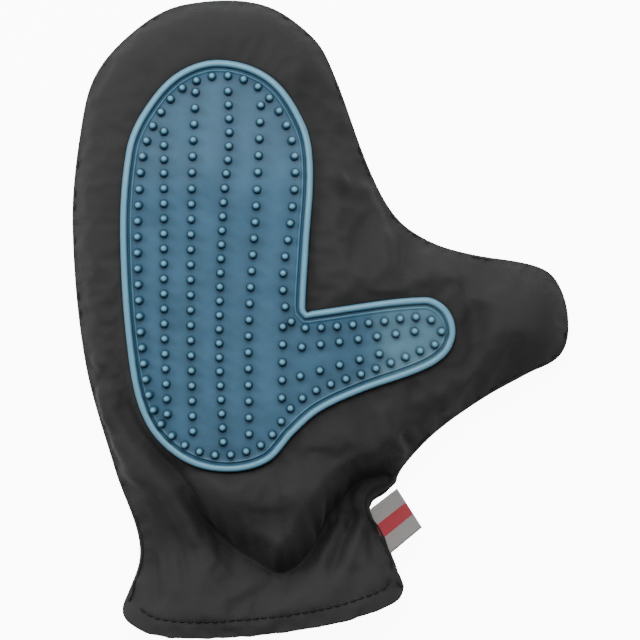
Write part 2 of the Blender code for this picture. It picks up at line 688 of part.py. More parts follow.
def main():
    for found in list(bpy.data.objects):
        bpy.data.objects.remove(found)

    fabric = material("shell_fabric", FABRIC_COLOUR, 0.75)
    rubber = material("pad_rubber", RUBBER_COLOUR, 0.4)
    elastic = material("elastic_tape", ELASTIC_COLOUR, 0.9)
    woven = material("label_ribbon", LABEL_COLOUR, 0.5)
    cotton = material("sewing_thread", THREAD_COLOUR, 0.7)

    joints = {name: joint_at(name, (*bend["at"], bend["z"])) for name, bend in BENDS.items()}
    joints["label"] = joint_at("label", (*LABEL_SEWN[0], SEAM_Z))
    zones = {"": [keep_zone(name + "_inner_zone", bend, False) for name, bend in BENDS.items()]}
    zones |= {"_" + name: [keep_zone(name + "_outer_zone", bend, True)] for name, bend in BENDS.items()}

    plan = panel_plan()
    palm = panel_mesh("palm_panel_mesh", plan, palm_outer, palm_inner, 1)
    back = panel_mesh("back_panel_mesh", plan, back_outer, back_inner, -1)
    pad = pad_mesh()
    for part, kept in zones.items():
        sheets = {"palm_panel": (palm, fabric), "back_panel": (back, fabric), "rubber_pad": (pad, rubber)}
        if part == "_thumb":
            del sheets["rubber_pad"]  # the pad ends short of the thumb's bend
        for name, (mesh, surface_material) in sheets.items():
            piece = new_object(name + part, mesh, surface_material)
            keep_inside(piece, kept)
            if part:
                carry(joints[part[1:]], piece)

    new_object("wrist_elastic_palm", elastic_mesh("wrist_elastic_palm_mesh", palm_inner, 1), elastic)
    new_object("wrist_elastic_back", elastic_mesh("wrist_elastic_back_mesh", back_inner, -1), elastic)
    elastic_thread("elastic_thread_palm", palm_inner, 1, cotton)
    elastic_thread("elastic_thread_back", back_inner, -1, cotton)
    hem_thread("hem_thread_palm", palm_outer, 1, cotton)
    hem_thread("hem_thread_back", back_outer, -1, cotton)
    for name, stitches in seam_threads(cotton).items():
        if name in joints:
            carry(joints[name], stitches)
    carry(joints["label"], new_object("side_label", label_mesh(), woven))


main()
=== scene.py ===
"""The looks of the grooming mitt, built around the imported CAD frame.

Lengths are millimetres until a mesh is made, in the frame's axes: +X to the thumb, +Y to the
fingertips and +Z out of the palm, with the mitt lying on its back.
"""

import math

import bpy
import numpy as np
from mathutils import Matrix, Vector, noise
from mathutils.bvhtree import BVHTree
from mathutils.geometry import delaunay_2d_cdt, interpolate_bezier


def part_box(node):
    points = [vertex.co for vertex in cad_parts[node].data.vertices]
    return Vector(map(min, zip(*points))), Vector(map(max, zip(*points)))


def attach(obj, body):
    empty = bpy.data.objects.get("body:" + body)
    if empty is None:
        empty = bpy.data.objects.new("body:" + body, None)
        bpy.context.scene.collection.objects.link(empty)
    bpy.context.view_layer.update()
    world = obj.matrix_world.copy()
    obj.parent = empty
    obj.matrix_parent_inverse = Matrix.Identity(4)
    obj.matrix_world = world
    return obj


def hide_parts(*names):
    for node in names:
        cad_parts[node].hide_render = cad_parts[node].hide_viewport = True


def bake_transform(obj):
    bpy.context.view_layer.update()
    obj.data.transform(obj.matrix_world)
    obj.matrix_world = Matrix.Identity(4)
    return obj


MM = 0.001

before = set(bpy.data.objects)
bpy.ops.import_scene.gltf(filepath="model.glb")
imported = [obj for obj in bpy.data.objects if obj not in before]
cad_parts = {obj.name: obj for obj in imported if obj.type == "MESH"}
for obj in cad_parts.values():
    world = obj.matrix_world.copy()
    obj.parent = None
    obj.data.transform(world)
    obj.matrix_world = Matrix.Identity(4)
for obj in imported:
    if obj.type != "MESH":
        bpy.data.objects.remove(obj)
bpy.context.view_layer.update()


def low(node):
    return np.array(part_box(node)[0]) / MM


def high(node):
    return np.array(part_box(node)[1]) / MM


# What the frame says
SEAM_Z = (low("palm_panel")[2] + high("back_panel")[2]) / 2
PALM_Z = high("palm_panel")[2]
FINGER_AXIS_Y = (high("palm_panel")[1] + low("palm_panel_fingers")[1]) / 2

# Outline of the closing seam, clockwise from the cuff's little-finger corner, and of the cuff's edge
LITTLE_FINGER_SIDE = [(-42.6, -97), (-35.8, -75.5), (-45.3, -45.3), (-56.6, -4.5), (-61.4, 47)]
FINGERTIPS = [(-58.5, 81.5), (-52.5, 104.2), (-35.8, 122.3), (-18.9, 130.5), (10, 130.5), (29.8, 117.7)]
INDEX_SIDE = [(37.4, 104.2), (50.9, 67.9), (61.1, 49.8), (74, 40.8)]
THUMB_TOP = [(89.1, 36.2), (112.5, 32.1), (120.8, 27.2), (125.8, 13), (123.4, -1.5)]
THUMB_BOTTOM = [(110.2, -9.1), (94, -18.1), (75.1, -31.7), (62.6, -45.3)]
HEEL = [(59.6, -51.5), (50.5, -58.5)]
CUFF_THUMB_SIDE = [(55.5, -67), (59.2, -77), (63.8, -88.7)]
HEM = [(63.8, -88.7), (60.4, -94.5), (34.9, -103), (-2.3, -107.6), (-29.4, -106.8), (-41.1, -100.8)]
HEM += LITTLE_FINGER_SIDE[:1]
WRIST_LINE = ((-35.8, -75.5), (50.5, -58.5))

# Outline of the rubber pad, clockwise from the notch between fingers and thumb
PAD_LOBE = [(27.3, 14.2), (28.6, 14.7), (71.1, 19.9), (79.3, 16.3), (83, 7.9), (80.4, -0.8), (71.7, -7.2)]
PAD_HEEL = [(47.9, -15.8), (32.1, -23.2), (22.7, -31.3), (12.3, -42.3), (-3.8, -45.8), (-20, -41.1)]
PAD_OUTER_SIDE = [(-32.7, -28.4), (-39.1, -7.6), (-42.9, 41.2), (-40.6, 75), (-34.5, 89.7), (-21.9, 103.9)]
PAD_FINGER_SIDE = [(-5.7, 109), (13.5, 102.8), (26.1, 85.7), (29.5, 69), (27.9, 38.1), (26.7, 16)]

# Fabric
SKIN_STEP = 2.6
SKIN_THICKNESS = 1.4
HEM_THICKNESS = 2.6
HEM_WIDTH = 8.0
HEM_STITCH_INSET = 5.8
HEM_STITCH_PITCH = 3.1
HEM_STITCH_LENGTH = 2.6
HEM_THREAD_RADIUS = 0.34
PALM_SHOULDER = 32.0  # distance from the seam over which the palm side rounds off
END_SHOULDER = 18.0  # the same at the thumb and the fingertips, which lie flatter
BACK_SHOULDER = 15.0
PANEL_GAP = 6.6  # least height of the palm side over the back
FLAT_THUMB_X = (42, 75)  # from where to where the shoulder narrows to the end shoulder
FLAT_TIPS_Y = (85, 112)
THUMB_DROP = 5.5  # how far the palm side comes down towards the thumb
THUMB_DROP_X = (35, 110)  # and from where to where
FINGERTIP_DROP = 5.0
FINGERTIP_DROP_Y = (55, 120)
WRIST_DROP = 5.0
WRIST_REACH = 14
CUFF_DROP = 7.0
CUFF_DROP_BEYOND = (-22, 4)  # distances past the wrist line
CUFF_LIFT = 2.5  # how far the back comes up at the cuff
CUFF_LIFT_BEYOND = (0, 25)
THUMB_CUT_X = 68.0  # where a panel's thumb piece starts

# Cloth simulation
CLOTH_PRESSURE = 4.0
CLOTH_BENDING = 8.0
CLOTH_EXCESS = 0.022  # how much longer than its pins the fabric is
CLOTH_FRAMES = 20
CLOTH_CAP = 3.0  # farthest that a point may move

# The heel of the palm folds down over the wrist: the line where its wall meets the cuff, with its depth
HEEL_BED = [
    (62, -50, 6), (54.6, -48.3, 10), (47.7, -50.4, 13), (40.1, -57.9, 13.5), (34, -66.3, 12),
    (26, -78, 10), (17.2, -83.7, 8.5), (8, -79.3, 7), (-2.3, -72.4, 6), (-9.2, -64.7, 5.5),
    (-20, -48.5, 5.5), (-29, -36.1, 5.5), (-38, -22.6, 4.5), (-44, 0, 2), (-47, 25, 0.3),
]
HEEL_WALL = 11.0  # how far inside that line the wall reaches
HEEL_OVERHANG = 0.8
HEEL_BELLY = 8.5  # how much the heel swells above the palm's slope to the wrist
HEEL_VALLEY = 5.0  # half width of the soft valley that the crease ends in
HEEL_FADE = 15.0  # how far outside the line the cloth is drawn down
HEEL_CRISP = (5.4, 7.0)  # depths between which the valley turns into a crease
HEEL_ROWS = (-1.6, 0, 1.2, 2.4, 3.8, 5.6)  # rows of points along the line, at these distances inside it

# Soft folds: the line each follows, its height and its half width
FOLDS = [
    ([(31, 68), (43.4, 62.3), (53.5, 58.6)], 1.3, 2.6),
    ([(33, 61.5), (44, 57), (52, 54)], -0.8, 2.4),
    ([(52, 57), (46, 49), (39, 40)], 0.6, 2.4),
    ([(22.5, 106), (33.8, 87), (46, 71)], -2.0, 6.5),
    ([(56.6, 49), (57, 24)], 1.5, 3),
    ([(63.7, 45), (64.6, 22)], -1.3, 3),
    ([(71.2, 41), (72, 22)], 1.3, 3),
    ([(83.5, 35), (88, 20), (90.5, 4), (87.5, -12)], -3.4, 4.8),
    ([(55, -18), (58.5, -36)], 1.9, 3.6),
    ([(67.5, -10), (66, -27)], -1.5, 3.4),
    ([(78, -12), (80, -26)], 1.2, 3.2),
    ([(62.5, -30), (69, -38.5)], -1.1, 1.3),
    ([(59.5, -32), (66, -41.5)], 1.0, 1.4),
    ([(67, -27), (73.5, -34.5)], -0.9, 1.4),
    ([(-56, 62.5), (-48, 61.5)], 0.9, 1.5),
    ([(-55, -3), (-47.5, -6)], 1.1, 1.8),
    ([(-52, -10), (-45.5, -13)], -0.9, 2),
    ([(-53, -8), (-46.5, -28), (-37.5, -46), (-29, -59)], 2.2, 3.6),
    ([(-35, -46), (-27, -62), (-21, -76)], -1.6, 2.6),
    ([(-24, -57), (-16, -72), (-11, -88)], 1.8, 4.5),
    ([(48.5, -57.5), (42, -68), (34.5, -88)], -2.4, 2.3),
    ([(50, -60), (45, -74), (42, -86)], 1.4, 2.0),
    ([(43, -62), (36, -73), (31, -83)], 1.2, 2.2),
    ([(52.2, -63), (51.5, -84)], -1.1, 2.2),
    ([(46, -80), (45, -97)], -1.5, 5),
    ([(-33.5, -75), (-31, -86), (-28.5, -98)], -1.7, 3),
    ([(-24, -76), (-21.5, -95)], 1.1, 3),
]

# Rubber pad: distance inwards from its outline, and height above the fabric
RIM_PROFILE = [
    (0.0, -0.6), (0.0, 1.5), (0.2, 2.05), (0.6, 2.45), (1.2, 2.6), (1.8, 2.55), (2.35, 2.2), (2.7, 1.5),
    (2.9, 0.95), (3.25, 0.85), (3.55, 1.3), (3.85, 1.55), (4.15, 1.5), (4.45, 1.2), (4.9, 1.1),
]
PAD_FLOOR = 1.1
NUB_PROFILE = [
    (1.85, -0.2), (1.62, 0.2), (1.45, 0.9), (1.3, 1.8), (1.18, 2.5), (1.0, 2.95), (0.7, 3.25), (0.35, 3.38),
]
NUB_HEIGHT = 3.42
NUB_SIDES = 14
NUB_RING_LOBE = [(19.8, 13.2), (23.6, 9), (30.2, 8.3), (54.7, 10.7), (70.8, 12.3), (76.9, 8.5), (76.9, 3.8)]
NUB_RING_HEEL = [(72.2, 0.9), (50, -8), (32.5, -14.2), (22, -20.8), (11.8, -34.2), (0.2, -38.9)]
NUB_RING_OUTER_SIDE = [(-11.5, -38.5), (-22.4, -32.8), (-29.7, -23.1), (-33.7, -5), (-35.8, 24.5)]
NUB_RING_FINGERTIPS = [(-35.8, 54.7), (-33, 77.5), (-24.1, 93.9), (-14.6, 100.9), (-2.1, 102.8)]
NUB_RING_FINGER_SIDE = [(10.1, 97.6), (19.8, 83), (22.7, 68), (20.9, 47.2), (18.2, 27)]
NUB_RING_PITCH = 5.95
# Rows of nubs inside the ring: the pitch, then the row's line from its first nub to its last
NUB_ROWS = [
    (5.6, [(-26.4, 81.9), (-26.3, 10), (-25, -23.9)]),
    (5.8, [(-14.6, 96.7), (-16, 61.5), (-16.4, 10.9), (-15.6, -30.4)]),
    (5.3, [(-2.4, 97), (-2, 77.4), (-4.2, 53.8), (-5.7, 2.8), (-4.2, -34.4)]),
    (6.2, [(9.9, 91.7), (8.2, 55), (5.4, 10), (5.5, -31.4)]),
    (6.7, [(18.2, 8.8), (17.8, -17.9)]),
    (7.1, [(25.3, 1.2), (67.4, 7.1)]),
    (7.5, [(24.7, -9.7), (54.2, -1.4)]),
]

# Label: its edge inside the seam and its folded edge
LABEL_TUCKED = ((50.7, -60.3), (58.0, -77.5))
LABEL_FOLD = ((60.8, -52.5), (70.3, -67.3))
LABEL_PLY = 0.32
LABEL_HALF_GAP = 0.16
LABEL_BOW = 0.35
LABEL_CURL = 0.8

# Threads and elastic
SEAM_STITCH_INSET = 3.3
SEAM_STITCH_PITCH = 3.0
SEAM_STITCH_RISE = 1.2  # the stitches' height above the seam
INSIDE_THREAD_RADIUS = 0.25
ELASTIC_WIDTH = 6.0
ELASTIC_THICKNESS = 0.9
TUCK = 0.3  # free space between the fabric's inner face and what lies on it

# Stage, in metres
FLOOR_REACH = 2.5
FLOOR_GAP = 0.0003
WHITE_GLOW = 10.0  # what the floor and the world shine towards the camera only
LIGHTS = {"key": ((0.0, 0.64, 1.18), 0.9, 21), "side": ((-0.95, 0.5, 0.7), 0.5, 6)}
LIGHTS_AIM = (0.03, 0.01, 0.01)
CAMERA_AIM = (0.0321, 0.0113, 0.012)
CAMERA_DISTANCE = 3.0
VIEW_WIDTH = 0.2415


# Paths


def lengths(path):
    return np.concatenate([[0], np.cumsum(np.linalg.norm(np.diff(path, axis=0), axis=1))])


def at(path, stations):
    """The path's points at the given distances along it."""
    along = lengths(path)
    return np.stack([np.interp(stations, along, path[:, k]) for k in range(path.shape[1])], axis=-1)


def even(path, step):
    """The same path with evenly spaced points, both ends kept."""
    path = np.array(path, float)
    length = lengths(path)[-1]
    return at(path, np.linspace(0, length, max(2, round(length / step) + 1)))


def tangents(path, closed=False):
    """Unit vectors along a path, one for each point."""
    ahead = np.roll(path, -1, 0) if closed else np.vstack([path[1:], path[-1:]])
    behind = np.roll(path, 1, 0) if closed else np.vstack([path[:1], path[:-1]])
    tangent = ahead - behind
    return tangent / np.linalg.norm(tangent, axis=1)[:, None]


def sideways(path, closed=False):
    """Unit vectors to the right of a flat path."""
    tangent = tangents(path, closed)
    return np.stack([tangent[:, 1], -tangent[:, 0]], axis=1)


def smooth_path(points, step, closed=False):
    """Points every step or so along a smooth curve through the given ones."""
    p = np.array(points, float)
    n = len(p)
    tangent = tangents(p, closed)
    fine = []
    for i in range(n if closed else n - 1):
        j = (i + 1) % n
        reach = np.linalg.norm(p[j] - p[i]) / 3
        knots = [(*q, 0) for q in (p[i], p[i] + tangent[i] * reach, p[j] - tangent[j] * reach, p[j])]
        fine += [tuple(q[:2]) for q in interpolate_bezier(*knots, 24)[:-1]]
    fine.append(tuple(p[0] if closed else p[-1]))
    return even(fine, step)[: -1 if closed else None]


def nearest_on(path, points):
    """Each point's distance, positive on the path's right, its share of the way along, and its offset."""
    a, b = path[:-1], path[1:]
    along = b - a
    offset = points[:, None] - a[None]
    share = np.clip((offset * along).sum(2) / (along**2).sum(1), 0, 1)
    gap = offset - share[..., None] * along
    distance = np.linalg.norm(gap, axis=2)
    best = distance.argmin(1)
    rows = np.arange(len(points))
    gap = gap[rows, best]
    side = np.where(along[best, 1] * gap[:, 0] < along[best, 0] * gap[:, 1], -1, 1)
    stations = lengths(path)
    where = stations[best] + share[rows, best] * (stations[best + 1] - stations[best])
    return distance[rows, best] * side, where / stations[-1], gap


def distance_to(path, points):
    return np.abs(nearest_on(path, points)[0])


def inside(outline, points):
    a, b = outline, np.roll(outline, -1, 0)
    x, y = points[:, None, 0], points[:, None, 1]
    spans = (a[:, 1] > y) != (b[:, 1] > y)
    rise = np.where(a[:, 1] == b[:, 1], 1, b[:, 1] - a[:, 1])
    crossing = a[:, 0] + (y - a[:, 1]) * (b[:, 0] - a[:, 0]) / rise
    return (spans & (x < crossing)).sum(1) % 2 == 1


def inset(path, amount):
    """The path moved to its right, without the loops that sharp corners would make."""
    moved = path + amount * sideways(path)
    return moved[distance_to(path, moved) > amount - 0.05]


SEAM = smooth_path(
    LITTLE_FINGER_SIDE + FINGERTIPS + INDEX_SIDE + THUMB_TOP + THUMB_BOTTOM + HEEL + CUFF_THUMB_SIDE, 1
)
HEM_EDGE = smooth_path(HEM, 1)
# The side seams run on past the open cuff, so that its cross-section stays the same up to its edge
SEAM_REACH = np.vstack([SEAM[:1] + (-12, -40), SEAM, SEAM[-1:] + (12, -40)])
PAD_OUTLINE = smooth_path(PAD_LOBE + PAD_HEEL + PAD_OUTER_SIDE + PAD_FINGER_SIDE, 0.9, closed=True)
PAD_CLOSED = np.vstack([PAD_OUTLINE, PAD_OUTLINE[:1]])
NUB_RING = smooth_path(
    NUB_RING_LOBE + NUB_RING_HEEL + NUB_RING_OUTER_SIDE + NUB_RING_FINGERTIPS + NUB_RING_FINGER_SIDE,
    0.5,
    closed=True,
)
WRIST_WAY = np.subtract(*WRIST_LINE[::-1]) / np.linalg.norm(np.subtract(*WRIST_LINE))
TO_CUFF = np.array((WRIST_WAY[1], -WRIST_WAY[0]))
HEEL_LINE = smooth_path([p[:2] for p in HEEL_BED], 1)


# Shape of the fabric


def ease(value, start, end):
    t = np.clip((value - start) / (end - start), 0, 1)
    return t * t * (3 - 2 * t)


def round_off(distance, reach):
    """A quarter ellipse: 0 at distance 0, 1 from reach on."""
    t = np.clip(distance / reach, 0, 1)
    return np.sqrt(1 - (1 - t) ** 2)


def past_wrist(points):
    return (points - np.array(WRIST_LINE[0])) @ TO_CUFF


def palm_base(points):
    """The palm side's height without its folds."""
    thumb = THUMB_DROP * ease(points[:, 0], *THUMB_DROP_X)
    tips = FINGERTIP_DROP * ease(points[:, 1], *FINGERTIP_DROP_Y)
    beyond = past_wrist(points)
    wrist = WRIST_DROP * np.exp(-((beyond / WRIST_REACH) ** 2)) + CUFF_DROP * ease(beyond, *CUFF_DROP_BEYOND)
    top = PALM_Z - thumb - tips - wrist
    flatter = np.maximum(ease(points[:, 0], *FLAT_THUMB_X), ease(points[:, 1], *FLAT_TIPS_Y))
    shoulder = PALM_SHOULDER + (END_SHOULDER - PALM_SHOULDER) * flatter
    return SEAM_Z + (top - SEAM_Z) * round_off(distance_to(SEAM_REACH, points), shoulder)


def back_base(points):
    """The back's height, which rests flat inside its shoulder."""
    lift = CUFF_LIFT * ease(past_wrist(points), *CUFF_LIFT_BEYOND)
    fall = round_off(distance_to(SEAM_REACH, points), BACK_SHOULDER)
    return SEAM_Z - (SEAM_Z - lift) * fall


def heel_fold(points):
    """Height and sideways shift that make the heel of the palm hang over the wrist."""
    side, share, offset = nearest_on(HEEL_LINE, points)
    knots = lengths(np.array([p[:2] for p in HEEL_BED]))
    depth = np.interp(share, knots / knots[-1], [p[2] for p in HEEL_BED])
    on_palm = side > 0
    wall = np.clip(1 - side / HEEL_WALL, 0, 1) ** 1.15
    crease = np.where(on_palm, wall, np.exp(-np.abs(side) / HEEL_FADE))
    valley = np.exp(-((side / HEEL_VALLEY) ** 2))
    drawn_down = valley + (crease - valley) * ease(depth, *HEEL_CRISP)
    belly = HEEL_BELLY * ease(-points[:, 1], 38, 60) * ease(side, 0, HEEL_WALL) * ease(depth, 3, 5)
    ramp = np.clip(side, 0, None) / (0.45 * HEEL_WALL)
    reach = HEEL_OVERHANG * depth / max(p[2] for p in HEEL_BED) * ramp * np.exp(1 - ramp)
    shift = -offset / np.maximum(np.abs(side), 1e-6)[:, None] * reach[:, None]
    return belly - depth * drawn_down, shift


def soft_folds(points):
    total = np.zeros(len(points))
    for line, height, width in FOLDS:
        side, share, _ = nearest_on(smooth_path(line, 1.5), points)
        taper = ease(share, -0.02, 0.3) * ease(1 - share, -0.02, 0.3)
        total += height * np.exp(-((side / width) ** 2)) * taper
    return total


def under_pad(points, margin):
    """1 under the pad, 0 from margin outside it."""
    outside = np.where(inside(PAD_OUTLINE, points), 0, distance_to(PAD_CLOSED, points))
    return 1 - ease(outside, 0, margin)


def gathers(points, seed):
    """Fine pleats that the elastic makes across the wrist."""
    random = np.random.default_rng(seed)
    across = (points - np.array(WRIST_LINE[0])) @ WRIST_WAY
    beyond = past_wrist(points)
    total = np.zeros(len(points))
    for centre in np.arange(3, 86, 5.2):
        middle = centre + random.uniform(-1.5, 1.5)
        slant = random.uniform(-0.15, 0.15)
        reach_up, reach_down = random.uniform(6, 14), random.uniform(8, 20)
        strength = random.uniform(0.35, 1.0)
        reach = np.where(beyond > 0, reach_down, reach_up)
        from_pleat = across - middle - slant * beyond
        total -= strength * np.exp(-((from_pleat / 1.5) ** 2) - (beyond / reach) ** 2)
    return total


def crinkles(points, level):
    """Small random unevenness of the cloth, in two sizes. level sets the palm and the back apart."""
    broad = [noise.noise(Vector((x / 17, y / 17, level))) for x, y in points]
    small = [noise.noise(Vector((x / 6.5, y / 6.5, level + 7))) for x, y in points]
    return 0.35 * np.array(broad) + 0.05 * np.array(small)


def puckers(points):
    """Short pleats that the closing seam's stitches draw into the edge of the cloth."""
    side, share, _ = nearest_on(SEAM, points)
    turns = share * lengths(SEAM)[-1] / 6.5 + 0.35 * np.sin(share * 97)
    from_seam = np.abs(side)
    fall = np.exp(-(((from_seam - 2.2) / 2.0) ** 2)) * ease(from_seam, 0, 1)
    return 0.15 * np.sin(2 * math.pi * turns) * fall


def hem_groove(points):
    """The dent along the row of hem stitches, deepest at each stitch."""
    side, share, _ = nearest_on(HEM_EDGE, points)
    stitch = 0.75 + 0.25 * np.cos(2 * math.pi * share * lengths(HEM_EDGE)[-1] / HEM_STITCH_PITCH)
    return 0.4 * stitch * np.exp(-(((np.abs(side) - HEM_STITCH_INSET) / 0.9) ** 2))


# Meshes


def triangulate(outline, extra=()):
    """Flat points, the outline's first, and the triangles between them inside the outline."""
    points = [tuple(p) for p in outline] + [tuple(p) for p in extra]
    found = delaunay_2d_cdt(points, [], [list(range(len(outline)))], 1, 1e-4, False)
    flat = np.array([tuple(v) for v in found[0]])
    triangles = np.array([tuple(f) for f in found[2]])
    triangles = triangles[inside(outline, flat[triangles].mean(1))]
    # Where the outline is nearly straight, a sliver outside it may pass as inside: one of its edges is
    # then used once without being on the outline
    edges = np.sort(triangles[:, [[0, 1], [1, 2], [2, 0]]], axis=2)
    _, rank, uses = np.unique(edges @ (len(flat), 1), return_inverse=True, return_counts=True)
    gap = edges[..., 1] - edges[..., 0]
    on_outline = (edges[..., 1] < len(outline)) & ((gap == 1) | (gap == len(outline) - 1))
    alone = (uses[rank].reshape(gap.shape) == 1) & ~on_outline
    return flat, counter_clockwise(flat, triangles[~alone.any(1)])


def counter_clockwise(flat, triangles):
    a, b, c = (flat[triangles[:, k]] for k in range(3))
    turn = (b[:, 0] - a[:, 0]) * (c[:, 1] - a[:, 1]) - (b[:, 1] - a[:, 1]) * (c[:, 0] - a[:, 0])
    return np.where((turn > 0)[:, None], triangles, triangles[:, ::-1])


def grid_inside(outline, spacing, margin):
    """A staggered grid of points inside the outline, more than margin from it."""
    low_corner, high_corner = outline.min(0), outline.max(0)
    rows = np.arange(low_corner[1], high_corner[1], spacing * math.sqrt(3) / 2)
    columns = np.arange(low_corner[0], high_corner[0], spacing)
    points = np.array([(x + spacing / 2 * (i % 2), y) for i, y in enumerate(rows) for x in columns])
    points = points[inside(outline, points)]
    return points[distance_to(np.vstack([outline, outline[:1]]), points) > margin]


def placed(name, data):
    made = bpy.data.objects.new(name, data)
    bpy.context.scene.collection.objects.link(made)
    return made


def mesh_object(name, vertices, faces, body=None):
    """A smooth-shaded object from millimetre vertices."""
    mesh = bpy.data.meshes.new(name)
    mesh.from_pydata((np.array(vertices) * MM).tolist(), [], [list(map(int, f)) for f in faces])
    mesh.validate()
    mesh.shade_smooth()
    made = placed(name, mesh)
    if body:
        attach(made, body)
    return made


def coordinates(mesh):
    flat = np.empty(len(mesh.vertices) * 3, np.float32)
    mesh.vertices.foreach_get("co", flat)
    return flat.reshape(-1, 3).astype(float)


def applied(thing):
    """The object's mesh with its modifiers applied."""
    ready = thing.evaluated_get(bpy.context.evaluated_depsgraph_get())
    return bpy.data.meshes.new_from_object(ready)


def set_uv(mesh, flat):
    """A UV map in units of 100 mm from one flat place per vertex."""
    layer = mesh.uv_layers.new(name="cloth")
    corner = np.empty(len(mesh.loops), np.int64)
    mesh.loops.foreach_get("vertex_index", corner)
    layer.data.foreach_set("uv", (flat[corner, :2] / 100).astype(np.float32).ravel())


def ring_faces(levels, count):
    """Quads between rings of count points, each ring inside or above the one before."""
    faces = []
    for level in range(levels - 1):
        for i in range(count):
            j = (i + 1) % count
            a, b = level * count, (level + 1) * count
            faces.append((a + i, b + i, b + j, a + j))
    return faces


def swept(sections):
    """Vertices and faces of a solid through closed sections with the same even number of points.

    Each half of a section mirrors the other, so the end caps are ladders of quads.
    """
    ring = len(sections[0])
    vertices = [p for section in sections for p in section]
    faces = []
    for i in range(len(sections) - 1):
        for k in range(ring):
            j = (k + 1) % ring
            faces.append((i * ring + k, i * ring + j, (i + 1) * ring + j, (i + 1) * ring + k))
    last = (len(sections) - 1) * ring
    for k in range(ring // 2 - 1):
        rung = (k, k + 1, ring - 2 - k, ring - 1 - k)
        faces.append(rung[::-1])
        faces.append(tuple(last + v for v in rung))
    return vertices, faces


def tube(centres, radius, sides=8, squeeze=None):
    """Vertices and faces of a round thread through the centres."""
    centres = np.array(centres, float)
    angles = (np.arange(sides) + 0.5) * 2 * math.pi / sides
    sections = []
    for i, (centre, way) in enumerate(zip(centres, tangents(centres))):
        side = np.cross(way, (0.02, 0.03, 1))
        side /= np.linalg.norm(side)
        up = np.cross(side, way)
        size = radius * (squeeze[i] if squeeze is not None else 1)
        sections.append(centre + size * (np.outer(np.cos(angles), side) - np.outer(np.sin(angles), up)))
    return swept(sections)


def joined(parts):
    """One list of vertices and one of faces out of several."""
    vertices, faces = [], []
    for more, sides in parts:
        faces += [tuple(len(vertices) + i for i in f) for f in sides]
        vertices += list(more)
    return vertices, faces


# The fabric shell


def flat_pattern():
    """One panel's flat points and triangles; the seam's points come first, then the hem's."""
    seam = even(SEAM, SKIN_STEP)
    hem = even(HEM_EDGE, SKIN_STEP)[1:-1]
    outline = np.vstack([seam, hem])
    field = grid_inside(outline, SKIN_STEP, SKIN_STEP * 0.6)
    from_fold = nearest_on(HEEL_LINE, field)[0]
    field = field[(from_fold < HEEL_ROWS[0] - 1.6) | (from_fold > HEEL_ROWS[-1] + 1.8)]
    right = sideways(HEEL_LINE)
    closed = np.vstack([outline, outline[:1]])
    for reach in HEEL_ROWS:
        row = even(HEEL_LINE + reach * right, 2)
        row = row[inside(outline, row)]
        row = row[distance_to(closed, row) > SKIN_STEP * 0.6]
        row = row[distance_to(HEEL_LINE, row) > abs(reach) - 0.2]
        field = np.vstack([field, row])
    flat, triangles = triangulate(outline, field)
    return flat, triangles, len(seam)


def edges_of(triangles):
    pairs = np.vstack([triangles[:, [0, 1]], triangles[:, [1, 2]], triangles[:, [2, 0]]])
    return np.unique(np.sort(pairs, axis=1), axis=0)


def relax(values, edges, held, rounds):
    """Average each value with its neighbours', rounds times, where it isn't held."""
    count = np.bincount(edges.ravel(), minlength=len(values))
    for _ in range(rounds):
        total = np.bincount(edges[:, 0], values[edges[:, 1]], len(values))
        total += np.bincount(edges[:, 1], values[edges[:, 0]], len(values))
        values = np.where(held, values, 0.5 * values + 0.5 * total / count)
    return values


def shell_start():
    """Both panels as one open sheet: the palm's points, then the back's points that aren't on the seam."""
    flat, triangles, on_seam = flat_pattern()
    edges = edges_of(triangles)
    held = np.arange(len(flat)) < on_seam
    palm = relax(palm_base(flat), edges, held, 12)
    back = relax(back_base(flat), edges, held, 6)
    depth = distance_to(SEAM_REACH, flat)
    share = (1 - under_pad(flat, 2.5)) * ease(depth, 0, 5)
    rise, shift = heel_fold(flat)
    lowest = back_base(flat) + PANEL_GAP * ease(depth, 0, 5)
    palm_points = np.column_stack([flat + share[:, None] * shift, np.maximum(palm + share * rise, lowest)])
    back_points = np.column_stack([flat, back])[on_seam:]
    past = len(flat) - on_seam
    under = np.where(triangles < on_seam, triangles, triangles + past)[:, ::-1]
    return np.vstack([palm_points, back_points]), np.vstack([triangles, under]), flat, on_seam


def pin_weights(points, flat, on_seam):
    """How firmly each point is held: wholly on the seam, under the pad and where the back rests."""
    both = np.vstack([flat, flat[on_seam:]])
    rank = np.arange(len(points))
    weights = np.where(rank < len(flat), under_pad(both, 5), 1.0 * (points[:, 2] < 0.6))
    weights = np.maximum(weights, rank < on_seam)
    weights = np.maximum(weights, 0.5 * (1 - ease(distance_to(HEM_EDGE, both), 1, 6)))
    return np.round(weights, 2)


